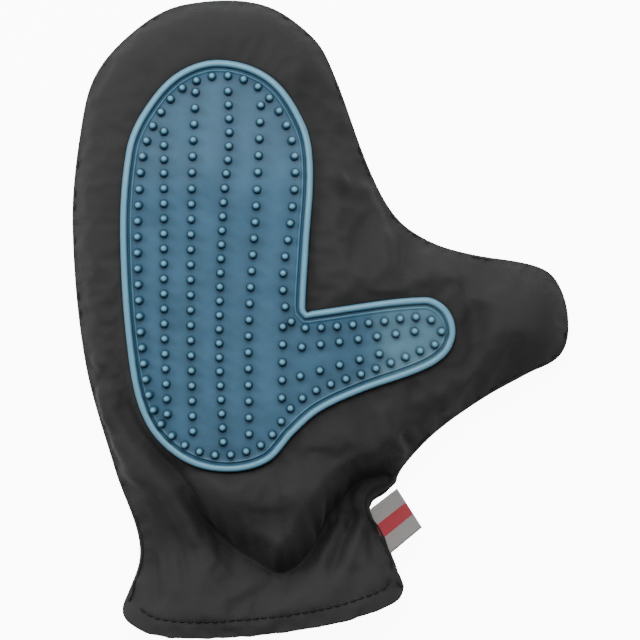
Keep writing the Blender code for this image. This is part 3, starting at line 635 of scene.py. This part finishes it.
def swell(points, faces, weights):
    """Cloth simulation: the fabric is a little too large for its pins, so it puffs and creases."""
    thing = mesh_object("shell_cloth", points, faces)
    group = thing.vertex_groups.new(name="pinned")
    for weight in np.unique(weights):
        group.add(np.flatnonzero(weights == weight).tolist(), float(weight), "REPLACE")
    cloth = thing.modifiers.new("cloth", "CLOTH")
    settings = cloth.settings
    settings.vertex_group_mass = "pinned"
    settings.quality = 6
    settings.mass = 0.15
    settings.tension_stiffness = 40
    settings.compression_stiffness = 40
    settings.shear_stiffness = 20
    settings.bending_stiffness = CLOTH_BENDING
    settings.tension_damping = 15
    settings.compression_damping = 15
    settings.use_pressure = True
    settings.uniform_pressure_force = CLOTH_PRESSURE
    settings.shrink_min = -CLOTH_EXCESS
    settings.shrink_max = -CLOTH_EXCESS
    settings.effector_weights.gravity = 0
    cloth.collision_settings.use_collision = False
    scene = bpy.context.scene
    cloth.point_cache.frame_start = 1
    cloth.point_cache.frame_end = CLOTH_FRAMES
    for step in range(1, CLOTH_FRAMES + 1):
        scene.frame_set(step)
    travel = coordinates(applied(thing)) / MM - points
    scene.frame_set(1)
    bpy.data.objects.remove(thing)
    distance = np.linalg.norm(travel, axis=1)
    return points + travel * (CLOTH_CAP / np.maximum(distance, CLOTH_CAP))[:, None]


def finer(points, faces, flat):
    """One round of Catmull-Clark subdivision; flat places are carried along."""
    results = []
    for values in (points, np.column_stack([flat, np.zeros(len(flat))])):
        thing = mesh_object("finer", values, faces)
        smooth = thing.modifiers.new("smooth", "SUBSURF")
        smooth.levels = smooth.render_levels = 1
        smooth.boundary_smooth = "PRESERVE_CORNERS"
        mesh = applied(thing)
        results.append(coordinates(mesh) / MM)
        quads = [tuple(p.vertices) for p in mesh.polygons]
        bpy.data.objects.remove(thing)
    return results[0], np.array(quads), results[1][:, :2]


def vertex_normals(points, faces):
    """Area-weighted normals of a mesh of quads."""
    a, b, c, d = (points[faces[:, k]] for k in range(4))
    face_normals = np.cross(c - a, d - b)
    total = np.zeros_like(points)
    for k in range(4):
        np.add.at(total, faces[:, k], face_normals)
    return total / np.maximum(np.linalg.norm(total, axis=1), 1e-9)[:, None]


def worked(outer, quads, place, side):
    """The finer surface with its small folds, dented along the hem and the seam. side is 1 for the palm."""
    depth = distance_to(SEAM_REACH, place)
    fade = ease(depth, 0.3, 5)
    if side > 0:
        free = fade * (1 - under_pad(place, 3))
        folds = free * (soft_folds(place) + crinkles(place, 0)) + ease(depth, 0, 6) * gathers(place, 4)
    else:
        folds = ease(depth, 0, 6) * gathers(place, 9) + 0.8 * fade * crinkles(place, 30)
        folds = np.where(outer[:, 2] < 1.2, np.minimum(folds, 0.0), folds)
    folds = folds + puckers(place) - hem_groove(place)
    outer = outer + vertex_normals(outer, quads) * folds[:, None]
    _, _, offset = nearest_on(SEAM, place)
    way_in = offset / np.maximum(np.linalg.norm(offset, axis=1), 0.3)[:, None]
    groove = 0.4 * np.exp(-(((depth - 0.9) / 0.8) ** 2)) * ease(distance_to(HEM_EDGE, place), 1, 6)
    outer[:, :2] += way_in * groove[:, None]
    return outer


def border_of(faces):
    """The edges that only one of the faces has, and their vertices."""
    half_edges = {tuple(e) for k in range(4) for e in faces[:, [k, (k + 1) % 4]].tolist()}
    border = sorted(e for e in half_edges if (e[1], e[0]) not in half_edges)
    return border, np.array(sorted({v for e in border for v in e}))


def away_from(points, facing, border, rim):
    """At each vertex of the border, the direction that leads off the sheet."""
    outward = np.zeros_like(points)
    for a, b in border:
        away = np.cross(points[b] - points[a], facing[a])
        outward[a] += away
        outward[b] += away
    return outward[rim] / np.maximum(np.linalg.norm(outward[rim], axis=1), 1e-9)[:, None]


def panel_piece(name, points, faces, flat, normals, kept):
    """A closed piece of fabric: the kept outer faces, an inner sheet and a rounded edge between them."""
    used, renumbered = np.unique(faces[kept], return_inverse=True)
    faces = renumbered.reshape(-1, 4)
    outer, facing, place = points[used], normals[used], flat[used]
    hem = 1 - ease(distance_to(HEM_EDGE, place), HEM_WIDTH - 0.6, HEM_WIDTH + 0.6)
    thickness = SKIN_THICKNESS + (HEM_THICKNESS - SKIN_THICKNESS) * hem
    inner = outer - facing * thickness[:, None]
    border, rim = border_of(faces)
    outward = away_from(outer, facing, border, rim)
    bulge = np.where(distance_to(HEM_EDGE, place[rim]) < 0.3, 0.3, 0.0) * thickness[rim]
    middle = (outer[rim] + inner[rim]) / 2
    vertices, places, normal_list = [outer, inner], [place, place], [facing, -facing]
    for angle in np.radians((50, 90, 130)):
        lift = math.cos(angle) * thickness[rim, None] / 2 * facing[rim]
        vertices.append(middle + lift + math.sin(angle) * bulge[:, None] * outward)
        places.append(place[rim])
        turned = math.cos(angle) * facing[rim] + math.sin(angle) * outward
        normal_list.append(turned / np.linalg.norm(turned, axis=1)[:, None])
    count = len(outer)
    rank = {v: i for i, v in enumerate(rim.tolist())}
    all_faces = faces.tolist() + (count + faces[:, ::-1]).tolist()
    for a, b in border:
        rungs_a = [a, *(2 * count + level * len(rim) + rank[a] for level in range(3)), count + a]
        rungs_b = [b, *(2 * count + level * len(rim) + rank[b] for level in range(3)), count + b]
        for level in range(4):
            all_faces.append([rungs_b[level], rungs_a[level], rungs_a[level + 1], rungs_b[level + 1]])
    made = mesh_object(name, np.vstack(vertices), all_faces)
    set_uv(made.data, np.vstack(places))
    made.data.normals_split_custom_set_from_vertices(np.vstack(normal_list).tolist())
    return made


def build_shell():
    """The fabric shell in four pieces, and a lookup tree for each panel's outer surface."""
    points, faces, flat, on_seam = shell_start()
    points = swell(points, faces, pin_weights(points, flat, on_seam))
    count = len(flat)
    upper, under = faces[: len(faces) // 2], faces[len(faces) // 2 :]
    back_points = np.vstack([points[:on_seam], points[count:]])
    back_faces = np.where(under < on_seam, under, under - (count - on_seam))
    sheets = {"palm": finer(points[:count], upper, flat), "back": finer(back_points, back_faces, flat)}
    pieces, trees = {}, {}
    for panel, (outer, quads, place) in sheets.items():
        outer = worked(outer, quads, place, 1 if panel == "palm" else -1)
        normals = vertex_normals(outer, quads)
        main = place[quads].mean(1)[:, 0] < THUMB_CUT_X
        for part, kept in (("_panel_skin", main), ("_thumb_skin", ~main)):
            pieces[panel + part] = panel_piece(panel + part, outer, quads, place, normals, kept)
        trees[panel] = BVHTree.FromPolygons(outer.tolist(), quads.tolist())
    return pieces, trees


# Materials


class Look:
    """The nodes of a material or of the world."""

    def __init__(self, tree):
        self.nodes = tree.nodes
        self.links = tree.links

    def feed(self, socket, value):
        """Link an output to the socket, or set the socket to a number, a vector or a colour."""
        if isinstance(value, bpy.types.NodeSocket):
            self.links.new(value, socket)
        else:
            socket.default_value = (*value, 1) if socket.type == "RGBA" else value

    def node(self, kind, output, inputs, **settings):
        """The named output of a new node."""
        made = self.nodes.new("ShaderNode" + kind)
        for name, value in settings.items():
            setattr(made, name, value)
        for name, value in inputs.items():
            self.feed(made.inputs[name], value)
        return made.outputs[output]

    def finish(self, inputs, shader="Principled BSDF"):
        for name, value in inputs.items():
            self.feed(self.nodes[shader].inputs[name], value)

    def mix(self, factor, first, second, blend="MIX"):
        """A colour between two, by a factor."""
        inputs = {"Factor": factor, "A": first, "B": second}
        return self.node("Mix", "Result", inputs, data_type="RGBA", blend_type=blend)

    def calc(self, operation, first, second=0.0):
        return self.node("Math", "Value", {0: first, 1: second}, operation=operation)

    def axis(self, name, place):
        return self.node("SeparateXYZ", name, {"Vector": place})

    def noise(self, place, scale, detail=4.0, roughness=0.55):
        inputs = {"Vector": place, "Scale": scale, "Detail": detail, "Roughness": roughness}
        return self.node("TexNoise", "Fac", inputs)

    def wave(self, place, direction, scale):
        inputs = {"Vector": place, "Scale": scale, "Distortion": 0.4, "Detail": 1, "Detail Scale": 2}
        return self.node("TexWave", "Fac", inputs, bands_direction=direction)

    def woven(self, place, across, along):
        """Threads in two directions, with a scale for each."""
        return self.calc("MULTIPLY", self.wave(place, "X", across), self.wave(place, "Y", along))

    def painted_crease_shade(self, distance, power):
        """Painted shade: 1 in the open, and less in creases narrower than distance, by ambient occlusion;
        mixed into a base colour it darkens it where shade falls.
        """
        nearby = self.node("AmbientOcclusion", "AO", {"Distance": distance})
        return self.calc("POWER", nearby, power)

    def bump(self, height, distance, strength, before=None):
        inputs = {"Height": height, "Distance": distance, "Strength": strength}
        if before:
            inputs["Normal"] = before
        return self.node("Bump", "Normal", inputs)


def new_look(name):
    made = bpy.data.materials.new(name)
    made.use_nodes = True
    return made, Look(made.node_tree)


def fabric_material():
    """Charcoal foam-backed polyester: a fine knit, soft crinkles and a faint sheen at grazing angles, with
    painted shade that darkens its colour in creases.
    """
    made, look = new_look("shell_fabric_look")
    place = look.node("UVMap", "UV", {})
    knit = look.woven(place, 62, 50)
    base = look.mix(look.noise(place, 5, 3), (0.027, 0.027, 0.0274), (0.036, 0.036, 0.0365))
    threads = look.mix(knit, (0.9, 0.9, 0.9), (1.05, 1.05, 1.05))
    unshaded_colour = look.mix(1.0, base, threads, "MULTIPLY")
    crinkled = look.bump(look.noise(place, 11, 5, 0.6), 0.0005, 0.2)
    flecked = look.bump(look.noise(place, 160, 2), 0.0002, 0.3, crinkled)
    look.finish({
        # Painted shade: the colour goes towards near black in creases and under overhangs, by ambient
        # occlusion.
        "Base Color": look.mix(look.painted_crease_shade(0.014, 1.6), (0.004, 0.004, 0.004), unshaded_colour),
        "Roughness": 0.82,
        "Normal": look.bump(knit, 0.00012, 0.4, flecked),
        "Sheen Weight": 0.12,
        "Sheen Roughness": 0.4,
        "Sheen Tint": (0.75, 0.77, 0.8),
        "Specular IOR Level": 0.22,
    })
    return made


def rubber_material():
    """Teal-blue thermoplastic rubber: satin and slightly translucent, with painted highlights where it is
    raised and painted shade in its creases.

    The end of the thumb lobe is painted lighter, a painted reflection.
    """
    made, look = new_look("pad_rubber_look")
    place = look.node("TexCoord", "Object", {})
    rise = look.node("Attribute", "Fac", {}, attribute_name="rise")
    # Painted reflection: the end of the thumb lobe is painted a lighter, paler blue from 46 mm to 60 mm
    # along X.
    lobe = {"Value": look.axis("X", place), "From Min": 46 * MM, "From Max": 60 * MM, "To Max": 0.7}
    in_lobe = look.node("MapRange", "Result", lobe, interpolation_type="SMOOTHSTEP")
    # The floor's colour mottles at random: partly the rubber's own uneven tone, partly painted reflection in
    # its lighter patches.
    floor = look.mix(look.noise(place, 70, 3), (0.024, 0.078, 0.122), (0.058, 0.165, 0.270))
    lobe_painted_reflection = look.mix(in_lobe, floor, (0.135, 0.275, 0.350))
    # Painted highlight: the rim's crest and the nubs' tips are painted lighter by how far they rise.
    painted_highlight = look.mix(rise, lobe_painted_reflection, (0.150, 0.360, 0.490))
    wobble = look.noise(place, 90, 2)
    wavy = look.bump(wobble, 0.0012, 0.4)
    dull = look.mix(wobble, (0.48, 0.48, 0.48), (0.66, 0.66, 0.66))
    look.finish({
        # Painted shade: the colour darkens in the groove inside the rim and round the nubs' feet, by ambient
        # occlusion.
        "Base Color": look.mix(look.painted_crease_shade(0.007, 1.75), (0.008, 0.035, 0.06), painted_highlight),
        "Roughness": look.mix(rise, dull, (0.3, 0.3, 0.3)),
        "Normal": look.bump(look.noise(place, 2600, 3), 0.00005, 0.35, wavy),
        "Specular IOR Level": 0.25,
        "Subsurface Weight": 0.1,
        "Subsurface Radius": (0.3, 0.8, 1.0),
        "Subsurface Scale": 0.001,
        "Coat Weight": 0.05,
        "Coat Roughness": 0.2,
    })
    return made


def thread_material():
    """Black polyester thread with its twist."""
    made, look = new_look("sewing_thread_look")
    twist = look.noise(look.node("TexCoord", "Object", {}), 3000, 2)
    look.finish({
        "Base Color": look.mix(twist, (0.003, 0.003, 0.003), (0.014, 0.014, 0.014)),
        "Roughness": 0.6,
        "Normal": look.bump(twist, 0.0001, 0.6),
        "Specular IOR Level": 0.3,
    })
    return made


def elastic_material():
    """Black elastic: ribs along the tape with a woven bump."""
    made, look = new_look("elastic_tape_look")
    ribs = look.woven(look.node("TexCoord", "Object", {}), 420, 260)
    look.finish({
        "Base Color": look.mix(ribs, (0.009, 0.009, 0.009), (0.03, 0.03, 0.03)),
        "Roughness": 0.85,
        "Normal": look.bump(ribs, 0.0004, 0.8),
        "Sheen Weight": 0.2,
    })
    return made


def label_material():
    """Grey satin ribbon with one plain red woven stripe across its middle."""
    made, look = new_look("label_ribbon_look")
    place = look.node("UVMap", "UV", {})
    from_middle = look.calc("ABSOLUTE", look.calc("SUBTRACT", look.axis("X", place), 0.5))
    in_stripe = look.calc("LESS_THAN", from_middle, 0.15)
    weave = look.woven(place, 22, 30)
    grey = look.mix(weave, (0.26, 0.245, 0.24), (0.38, 0.36, 0.355))
    red = look.mix(weave, (0.34, 0.02, 0.035), (0.5, 0.05, 0.065))
    look.finish({
        "Base Color": look.mix(in_stripe, grey, red),
        "Roughness": 0.42,
        "Normal": look.bump(weave, 0.00012, 0.7),
        "Anisotropic": 0.5,
        "Sheen Weight": 0.15,
    })
    return made


def give(thing, material):
    thing.data.materials.clear()
    thing.data.materials.append(material)


# The rubber pad


def pad_normals(points):
    """Normals of the palm side without its folds."""
    step = 1.0
    dx = (palm_base(points + (step, 0)) - palm_base(points - (step, 0))) / (2 * step)
    dy = (palm_base(points + (0, step)) - palm_base(points - (0, step))) / (2 * step)
    normal = np.stack([-dx, -dy, np.ones(len(points))], axis=1)
    return normal / np.linalg.norm(normal, axis=1)[:, None]


def runs_by_bend(path):
    """The path cut where it crosses the fingers' bend."""
    fine = even(path, 0.25)
    cuts = [0, *(np.flatnonzero(np.diff(fine[:, 1] > FINGER_AXIS_Y)) + 1), len(fine)]
    return [fine[a:b] for a, b in zip(cuts, cuts[1:]) if b - a > 2]


def spaced_nubs(path, pitch, closed=False):
    """Nub centres along a path: at both ends of an open one, and half a pitch clear of the bend."""
    found = []
    for run in runs_by_bend(path):
        from_end = not closed and np.allclose(run[0], path[0])
        to_end = not closed and np.allclose(run[-1], path[-1])
        length = lengths(run)[-1]
        count = round(length / pitch + (from_end + to_end) / 2)
        gap = length / (count - (from_end + to_end) / 2)
        found.append(at(run, gap * (np.arange(count) + (0 if from_end else 0.5))))
    return np.vstack(found)


def nub_centres():
    centres = [spaced_nubs(np.vstack([NUB_RING, NUB_RING[:1]]), NUB_RING_PITCH, closed=True)]
    centres += [spaced_nubs(smooth_path(line, 0.5), pitch) for pitch, line in NUB_ROWS]
    return np.vstack(centres)


def pad_body():
    """The moulding without its nubs: rings of the rim's profile, the floor inside them and an underside."""
    right = sideways(PAD_OUTLINE, closed=True)
    count = len(PAD_OUTLINE)
    vertices, rise = [], []
    faces = ring_faces(len(RIM_PROFILE), count)
    for reach, height in RIM_PROFILE:
        ring = PAD_OUTLINE + right * reach
        vertices += list(np.column_stack([ring, palm_base(ring) + height]))
        # How far each ring stands up, for the painted highlight: full on the rim's crest, a little on the
        # inner bead.
        on_rim = float(np.clip((height - 1.2) / 1.4, 0, 1))
        on_bead = 0.35 * (height > 1.4)
        rise += [on_rim if reach < 2.8 else on_bead] * count
    sheets = (
        (PAD_OUTLINE + right * RIM_PROFILE[-1][0], (len(RIM_PROFILE) - 1) * count, PAD_FLOOR, 2.4, 1),
        (PAD_OUTLINE, 0, RIM_PROFILE[0][1], 4.0, -1),
    )
    for edge, first, height, spacing, turn in sheets:
        flat, triangles = triangulate(edge, grid_inside(edge, spacing, spacing / 2))
        rank = np.arange(len(flat))
        numbers = np.where(rank < count, rank + first, rank + len(vertices) - count)
        vertices += list(np.column_stack([flat, palm_base(flat) + height]))[count:]
        rise += [0.0] * (len(flat) - count)
        faces += [tuple(numbers[t][::turn]) for t in triangles]
    return vertices, faces, rise


def nub(centre, base, lean):
    """One rounded nub standing along lean."""
    angles = np.arange(NUB_SIDES) * 2 * math.pi / NUB_SIDES
    side = np.cross(lean, (0, 1, 0))
    side /= np.linalg.norm(side)
    circle = np.outer(np.cos(angles), side) + np.outer(np.sin(angles), np.cross(lean, side))
    foot = np.array((*centre, base + PAD_FLOOR))
    vertices = [p for radius, height in NUB_PROFILE for p in foot + height * lean + radius * circle]
    vertices.append(foot + NUB_HEIGHT * lean)
    faces = ring_faces(len(NUB_PROFILE), NUB_SIDES)
    top = (len(NUB_PROFILE) - 1) * NUB_SIDES
    faces += [(top + i, len(vertices) - 1, top + (i + 1) % NUB_SIDES) for i in range(NUB_SIDES)]
    faces.append(tuple(range(NUB_SIDES)))
    # How far each ring stands up, sharpened so that the painted highlight falls on the nub's tip.
    shares = [max(height, 0) / NUB_HEIGHT for _, height in NUB_PROFILE]
    rise = [share**2.5 for share in shares for _ in range(NUB_SIDES)] + [1.0]
    return vertices, faces, rise


def build_pad(material):
    """The moulding with its nubs, and an attribute that says how far each point rises, which the rubber's
    look turns into painted highlights.
    """
    body, sides, rise = pad_body()
    parts = [(body, sides)]
    centres = nub_centres()
    for centre, base, lean in zip(centres, palm_base(centres), pad_normals(centres)):
        vertices, faces, painted_highlight = nub(centre, base, lean)
        parts.append((vertices, faces))
        rise += painted_highlight
    made = mesh_object("rubber_pad_moulding", *joined(parts))
    attribute = made.data.attributes.new("rise", "FLOAT", "POINT")
    attribute.data.foreach_set("value", np.array(rise, np.float32))
    give(made, material)
    return made


# Threads, elastic and label


def surface_point(tree, place, side):
    """The outer surface's point and normal at a flat place. side is 1 for the palm, -1 for the back."""
    hit, normal, _, _ = tree.ray_cast(Vector((*place, 60 * side)), Vector((0, 0, -side)))
    if hit is None:
        hit, normal, _, _ = tree.find_nearest(Vector((*place, SEAM_Z)))
    normal = np.array(normal)
    return np.array(hit), normal if normal[2] * side > 0 else -normal


def build_hem_threads(trees, material):
    """Two rows of topstitching, each stitch dipping into the fabric at both ends."""
    path = inset(HEM_EDGE, HEM_STITCH_INSET)
    path = path[distance_to(SEAM_REACH, path) > 1.5]
    length, radius = HEM_STITCH_LENGTH, HEM_THREAD_RADIUS
    shares = np.linspace(0, 1, 7)
    for name, side in (("palm", 1), ("back", -1)):
        stitches = []
        for start in np.arange(0.5, lengths(path)[-1] - length, HEM_STITCH_PITCH):
            centres = []
            for share, place in zip(shares, at(path, start + shares * length)):
                point, normal = surface_point(trees[name], place, side)
                centres.append(point + normal * radius * (1.1 * math.sin(math.pi * share) - 0.35))
            stitches.append(tube(centres, radius, squeeze=0.55 + 0.45 * np.sin(math.pi * shares)))
        made = mesh_object("hem_stitches_" + name, *joined(stitches), "hand")
        give(made, material)
        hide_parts("hem_thread_" + name)


def wrist_stations(step):
    line = even(WRIST_LINE, step)
    return line[distance_to(SEAM_REACH, line) > 7]


def build_elastic(trees, tape, thread):
    """The elastic tapes inside the wrist, waving with the gathers, with their zigzag stitching."""
    across = np.linspace(-ELASTIC_WIDTH / 2, ELASTIC_WIDTH / 2, 9)
    for name, side in (("palm", 1), ("back", -1)):
        sections = []
        for place in wrist_stations(1.0):
            found = [surface_point(trees[name], place + a * TO_CUFF, side) for a in across]
            near = [point - normal * (SKIN_THICKNESS + TUCK) for point, normal in found]
            far = [point - normal * (SKIN_THICKNESS + TUCK + ELASTIC_THICKNESS) for point, normal in found]
            sections.append([*near, *far[::-1]][::side])
        made = mesh_object("elastic_tape_" + name, *swept(sections), "hand")
        give(made, tape)
        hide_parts("wrist_elastic_" + name)
        centres = []
        for i, place in enumerate(wrist_stations(0.6)):
            swing = ELASTIC_WIDTH / 3 * (2 * abs((i / 4) % 2 - 1) - 1)
            point, normal = surface_point(trees[name], place + swing * TO_CUFF, side)
            centres.append(point - normal * (SKIN_THICKNESS + TUCK + ELASTIC_THICKNESS + 0.15))
        made = mesh_object("elastic_stitches_" + name, *tube(centres, INSIDE_THREAD_RADIUS, 6), "hand")
        give(made, thread)
        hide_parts("elastic_thread_" + name)


def seam_runs():
    """The seam's parts on the main pieces' side of the thumb cut, then those on the thumb pieces' side."""
    beyond = SEAM[:, 0] > THUMB_CUT_X
    cuts = np.flatnonzero(np.diff(beyond)) + 1
    runs = np.split(SEAM, cuts)
    return [r for r in runs if r[0, 0] <= THUMB_CUT_X], [r for r in runs if r[0, 0] > THUMB_CUT_X]


def build_seam(trees, thread):
    """The closing seam's stitches, just inside the turned-in edges of both panels."""
    replaced = {
        "fingers": ("seam_thread_little_finger", "seam_thread_fingers", "seam_thread_heel"),
        "thumb": ("seam_thread_web", "seam_thread_thumb"),
    }
    made = {}
    for (name, nodes), runs in zip(replaced.items(), seam_runs()):
        stitches = []
        for run in runs:
            path = even(run, 0.8)
            place = path + SEAM_STITCH_INSET * sideways(path)
            roof = np.array([surface_point(trees["palm"], p, 1)[0][2] for p in place])
            height = np.minimum(SEAM_Z + SEAM_STITCH_RISE, roof - SKIN_THICKNESS - 0.9)
            height += 0.15 * np.cos(lengths(path) / SEAM_STITCH_PITCH * 2 * math.pi)
            stitches.append(tube(np.column_stack([place, height])[2:-2], INSIDE_THREAD_RADIUS, 6))
        made[name] = mesh_object("seam_stitches_" + name, *joined(stitches))
        give(made[name], thread)
        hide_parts(*nodes)
    return made


def ribbon_layer(reach, radius):
    """One face of the folded ribbon: out along the upper ply, round the fold and back along the lower."""
    turn = np.radians(np.linspace(80, -80, 7))
    shares = np.linspace(0, 1, 17)
    bow = LABEL_BOW * np.sin(math.pi * shares) ** 0.8
    upper = [(u * reach, radius + b) for u, b in zip(shares, bow)]
    tip = [(reach + radius * math.cos(a), radius * math.sin(a)) for a in turn]
    lower = [(u * reach, -radius - b) for u, b in zip(shares[::-1], bow[::-1])]
    return upper + tip + lower


def build_label(material):
    """The folded ribbon: two plies that bow apart a little and meet in a soft fold."""
    sections, places = [], []
    for s in np.linspace(0, 1, 21):
        sewn = np.array(LABEL_TUCKED[0]) * (1 - s) + np.array(LABEL_TUCKED[1]) * s
        fold = np.array(LABEL_FOLD[0]) * (1 - s) + np.array(LABEL_FOLD[1]) * s
        reach = np.linalg.norm(fold - sewn)
        way = (fold - sewn) / reach
        inner = ribbon_layer(reach, LABEL_HALF_GAP)
        outer = ribbon_layer(reach, LABEL_HALF_GAP + LABEL_PLY)
        section = []
        for u, z in inner + outer[::-1]:
            curl = LABEL_CURL * (u / reach) ** 2 * math.cos(3 * s)
            section.append((*(sewn + way * u), SEAM_Z + z + curl))
            places.append((s * 100, min(u / reach, 1) * 100))
        sections.append(section)
    made = mesh_object("side_label_ribbon", *swept(sections))
    set_uv(made.data, np.array(places))
    give(made, material)
    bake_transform(made)
    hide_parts("side_label")


# Stage


def glow(look, lit):
    """A strength that is lit for the object and far brighter for the camera, which sees plain white."""
    is_camera = look.node("LightPath", "Is Camera Ray", {})
    return look.calc("ADD", look.calc("MULTIPLY", is_camera, WHITE_GLOW), lit)


def build_floor():
    corners = [(-1, -1, 0), (1, -1, 0), (1, 1, 0), (-1, 1, 0)]
    floor = mesh_object("floor", np.array(corners) * FLOOR_REACH / MM, [(0, 1, 2, 3)])
    floor.location.z = min(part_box(name)[0].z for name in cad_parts) - FLOOR_GAP
    material, look = new_look("floor_look")
    look.finish({
        "Base Color": (0.93, 0.93, 0.93),
        "Roughness": 0.9,
        "Emission Color": (1, 1, 1),
        "Emission Strength": glow(look, 0.1),
    })
    floor.data.materials.append(material)


def build_world():
    """White all round, lit a little more from the fingertips' side."""
    world = bpy.data.worlds.new("studio")
    bpy.context.scene.world = world
    world.use_nodes = True
    look = Look(world.node_tree)
    from_tips = look.calc("MULTIPLY", look.axis("Y", look.node("TexCoord", "Generated", {})), 0.14)
    strength = glow(look, look.calc("ADD", from_tips, 0.195))
    look.finish({"Color": (1, 1, 1), "Strength": strength}, "Background")


def soft_light(name, place, size, power):
    light = bpy.data.lights.new(name, "AREA")
    light.size = size
    light.energy = power
    made = placed(name, light)
    made.location = place
    made.rotation_euler = (Vector(LIGHTS_AIM) - Vector(place)).to_track_quat("-Z", "Y").to_euler()


def build_camera():
    """Straight down, with the fingertips at the top of the picture."""
    camera = bpy.data.cameras.new("camera")
    camera.lens = camera.sensor_width * CAMERA_DISTANCE / VIEW_WIDTH
    made = placed("camera", camera)
    made.location = Vector(CAMERA_AIM) + Vector((0, 0, CAMERA_DISTANCE))
    bpy.context.scene.camera = made


def bend_with_fingers(piece):
    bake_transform(piece)


def bend_with_thumb(piece):
    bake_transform(piece)


def main():
    fabric = fabric_material()
    thread = thread_material()
    pieces, trees = build_shell()
    for name, piece in pieces.items():
        give(piece, fabric)
        panel = name.split("_")[0] + "_panel"
        if "thumb" in name:
            bend_with_thumb(piece)
            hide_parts(panel + "_thumb")
        else:
            bend_with_fingers(piece)
            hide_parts(panel, panel + "_fingers")
    pad = build_pad(rubber_material())
    bend_with_fingers(pad)
    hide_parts("rubber_pad", "rubber_pad_fingers")
    seams = build_seam(trees, thread)
    bend_with_fingers(seams["fingers"])
    bend_with_thumb(seams["thumb"])
    build_hem_threads(trees, thread)
    build_elastic(trees, elastic_material(), thread)
    build_label(label_material())
    build_floor()
    build_world()
    for name, (place, size, power) in LIGHTS.items():
        soft_light(name, place, size, power)
    build_camera()
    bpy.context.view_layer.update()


main()
